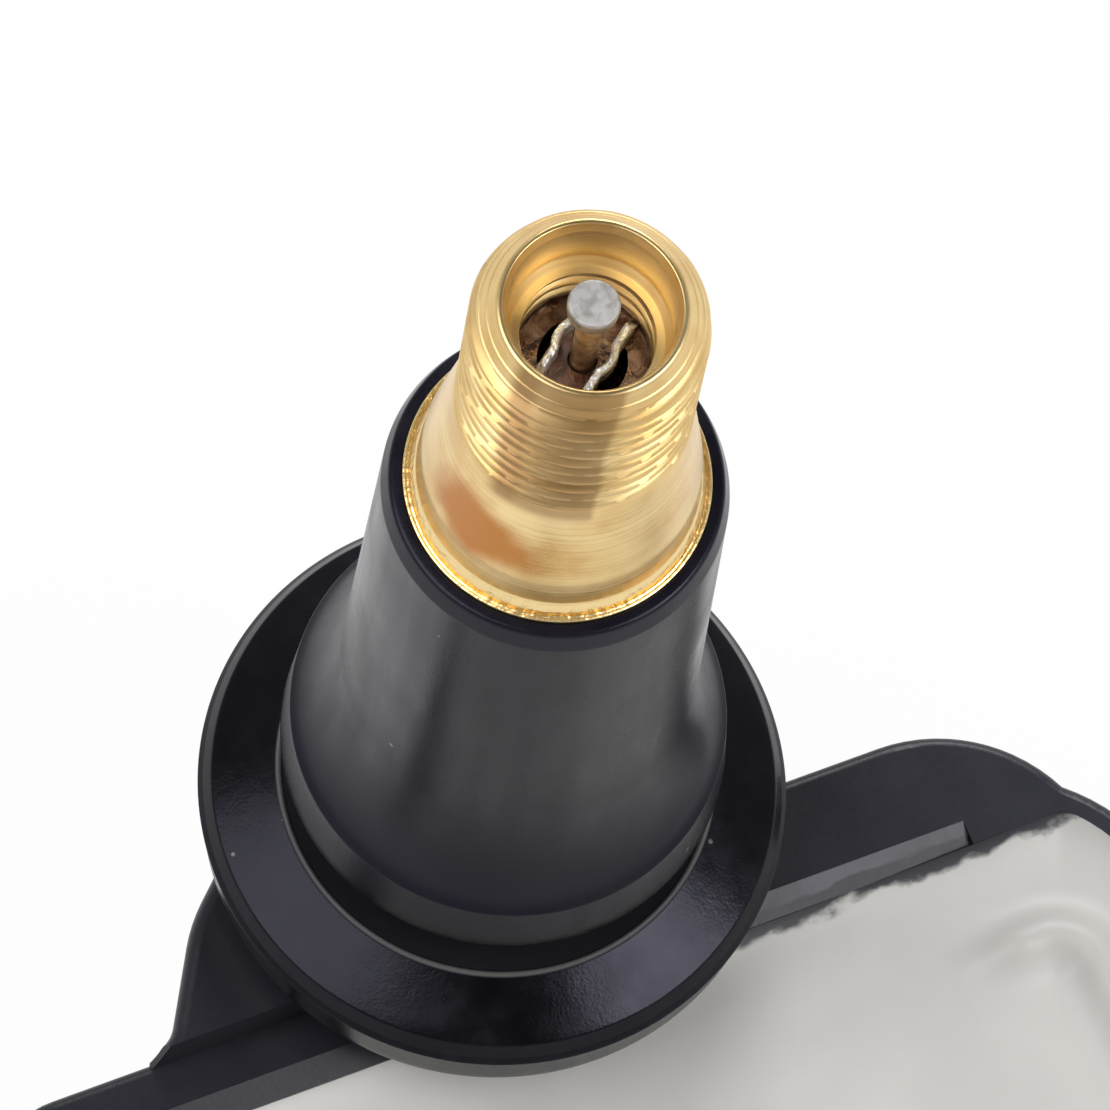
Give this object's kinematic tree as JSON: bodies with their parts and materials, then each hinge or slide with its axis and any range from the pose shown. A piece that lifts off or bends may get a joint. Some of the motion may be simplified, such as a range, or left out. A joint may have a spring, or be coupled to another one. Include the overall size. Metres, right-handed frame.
{
  "type": "tyre pressure sensor",
  "caption": "Snap-in tyre valve with a brass stem and black rubber sleeve, screwed to a flat black sensor tray filled with off-white potting.",
  "frame": {"origin": "on the valve stem's axis, in the plane of the rubber flange that seats on the inside of the wheel", "axes": "+Z along the stem, out of the wheel; +X along the tray's long back edge; the tray lies towards -Y"},
  "size_m": [0.0433, 0.0402, 0.0586],
  "materials": {
    "stem_brass": "turned, bright",
    "sleeve_rubber": "satin moulded",
    "core_plating": "nickel plate",
    "gasket_plastic": "smooth",
    "pin_steel": "worn",
    "screw_steel": "zinc plate",
    "tray_plastic": "moulded, fine grain",
    "potting_compound": "cast, smooth",
    "board_laminate": "solder mask",
    "chip_package": "moulded",
    "ferrite": "sintered",
    "copper_wire": "enamelled"
  },
  "bodies": {
    "sensor": {"valve_stem": "stem_brass", "rubber_grommet": "sleeve_rubber", "core_plug": "core_plating", "core_barrel": "stem_brass", "core_gasket": "gasket_plastic", "core_spring": "pin_steel", "fixing_screw": "screw_steel", "housing_tray": "tray_plastic", "potting": "potting_compound", "circuit_board": "board_laminate", "battery_cell": "screw_steel", "battery_tab_positive": "screw_steel", "battery_tab_negative": "screw_steel", "sensor_chip": "chip_package", "port_seal": "sleeve_rubber", "coil_core": "ferrite", "coil_winding": "copper_wire", "antenna_wire": "copper_wire", "crystal_can": "screw_steel", "chip_capacitors": "ferrite"},
    "pin": {"core_pin": "pin_steel", "core_cup": "stem_brass", "core_cup_seal": "sleeve_rubber"}
  },
  "joints": [
    {"name": "pin_press", "type": "slide", "parent": "sensor", "child": "pin", "axis": [0, 0, -1], "range_m": [0, 0.001], "stiffness_N_per_m": 300, "springref_m": -0.003, "deforming": ["core_spring"]}
  ]
}
